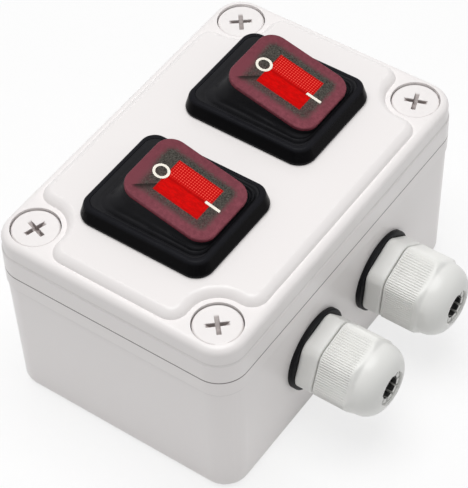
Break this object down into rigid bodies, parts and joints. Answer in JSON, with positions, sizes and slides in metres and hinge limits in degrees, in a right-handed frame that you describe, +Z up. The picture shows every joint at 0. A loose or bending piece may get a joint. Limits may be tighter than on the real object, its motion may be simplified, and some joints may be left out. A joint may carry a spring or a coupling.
{
  "type": "inline rocker switch",
  "caption": "Small plastic box with lit rocker switches in the lid and cable glands on one side, wired in line with a cable to switch two loads.",
  "frame": {"origin": "centre of the base's flat underside", "axes": "+X along the box's long side, +Y away from the cable glands, +Z up out of the lid"},
  "size_m": [0.1, 0.0897, 0.0678],
  "materials": {
    "box_plastic": "satin white ABS",
    "gland_plastic": "satin pale grey nylon",
    "bezel_black": "polished black nylon",
    "frame_black": "moulded black nylon",
    "boot_rubber": "matt black silicone rubber",
    "seal_rubber": "matt black rubber",
    "washer_rubber": "matt black rubber",
    "lens_red": "polished see-through red polycarbonate",
    "mark_cream": "cream paint",
    "lamp_glass": "clear neon lamp",
    "resistor_body": "lacquered",
    "plunger_nylon": "natural nylon",
    "spring_steel": "drawn wire",
    "contact_brass": "stamped strip"
  },
  "bodies": {
    "box": {"enclosure_base": "box_plastic", "enclosure_lid": "box_plastic", "lid_gasket": "seal_rubber", "lid_screws": "box_plastic", "left_switch_housing": "bezel_black", "left_bezel_seal": "seal_rubber", "left_rubber_boot": "boot_rubber", "left_common_terminals": "contact_brass", "left_load_terminals": "contact_brass", "left_gland_washer": "washer_rubber", "left_gland_body": "gland_plastic", "left_lock_nut": "gland_plastic", "right_switch_housing": "bezel_black", "right_bezel_seal": "seal_rubber", "right_rubber_boot": "boot_rubber", "right_common_terminals": "contact_brass", "right_load_terminals": "contact_brass", "right_gland_washer": "washer_rubber", "right_gland_body": "gland_plastic", "right_lock_nut": "gland_plastic"},
    "left_rocker": {"left_rocker_frame": "frame_black", "left_rocker_lens": "lens_red", "left_rocker_marks": "mark_cream", "left_pilot_lamp": "lamp_glass", "left_lamp_resistor": "resistor_body", "left_plungers": "plunger_nylon", "left_plunger_springs": "spring_steel"},
    "left_blades": {"left_contact_blades": "contact_brass"},
    "left_insert": {"left_clamping_claw": "gland_plastic", "left_cable_seal": "seal_rubber"},
    "left_nut": {"left_gland_nut": "gland_plastic"},
    "right_rocker": {"right_rocker_frame": "frame_black", "right_rocker_lens": "lens_red", "right_rocker_marks": "mark_cream", "right_pilot_lamp": "lamp_glass", "right_lamp_resistor": "resistor_body", "right_plungers": "plunger_nylon", "right_plunger_springs": "spring_steel"},
    "right_blades": {"right_contact_blades": "contact_brass"},
    "right_insert": {"right_clamping_claw": "gland_plastic", "right_cable_seal": "seal_rubber"},
    "right_nut": {"right_gland_nut": "gland_plastic"}
  },
  "joints": [
    {"name": "left_rocker_tilt", "type": "hinge", "parent": "box", "child": "left_rocker", "pos_m": [-0.0208, 0.0008, 0.0505], "axis": [1, 0, 0], "range_deg": [-28, 0], "deforming": ["left_rubber_boot"]},
    {"name": "left_blade_tilt", "type": "hinge", "parent": "box", "child": "left_blades", "pos_m": [-0.0208, 0.0008, 0.03895], "axis": [1, 0, 0], "range_deg": [0, 12]},
    {"name": "left_nut_travel", "type": "slide", "parent": "box", "child": "left_insert", "axis": [0, -1, 0], "range_m": [-0.00025, 0.0043]},
    {"name": "left_nut_turn", "type": "hinge", "parent": "left_insert", "child": "left_nut", "pos_m": [-0.01475, -0.04718, 0.0215], "axis": [0, -1, 0], "range_deg": [-60, 1080]},
    {"name": "right_rocker_tilt", "type": "hinge", "parent": "box", "child": "right_rocker", "pos_m": [0.0208, 0.0008, 0.0505], "axis": [1, 0, 0], "range_deg": [-28, 0], "deforming": ["right_rubber_boot"]},
    {"name": "right_blade_tilt", "type": "hinge", "parent": "box", "child": "right_blades", "pos_m": [0.0208, 0.0008, 0.03895], "axis": [1, 0, 0], "range_deg": [0, 12]},
    {"name": "right_nut_travel", "type": "slide", "parent": "box", "child": "right_insert", "axis": [0, -1, 0], "range_m": [-0.00025, 0.0043]},
    {"name": "right_nut_turn", "type": "hinge", "parent": "right_insert", "child": "right_nut", "pos_m": [0.01475, -0.04718, 0.0215], "axis": [0, -1, 0], "range_deg": [-60, 1080]}
  ],
  "couplings": [
    {"joint": "left_blade_tilt", "follows": "left_rocker_tilt", "ratio": -0.42857},
    {"joint": "left_nut_travel", "follows": "left_nut_turn", "m_per_rad": 0.00022441},
    {"joint": "right_blade_tilt", "follows": "right_rocker_tilt", "ratio": -0.42857},
    {"joint": "right_nut_travel", "follows": "right_nut_turn", "m_per_rad": 0.00022441}
  ]
}
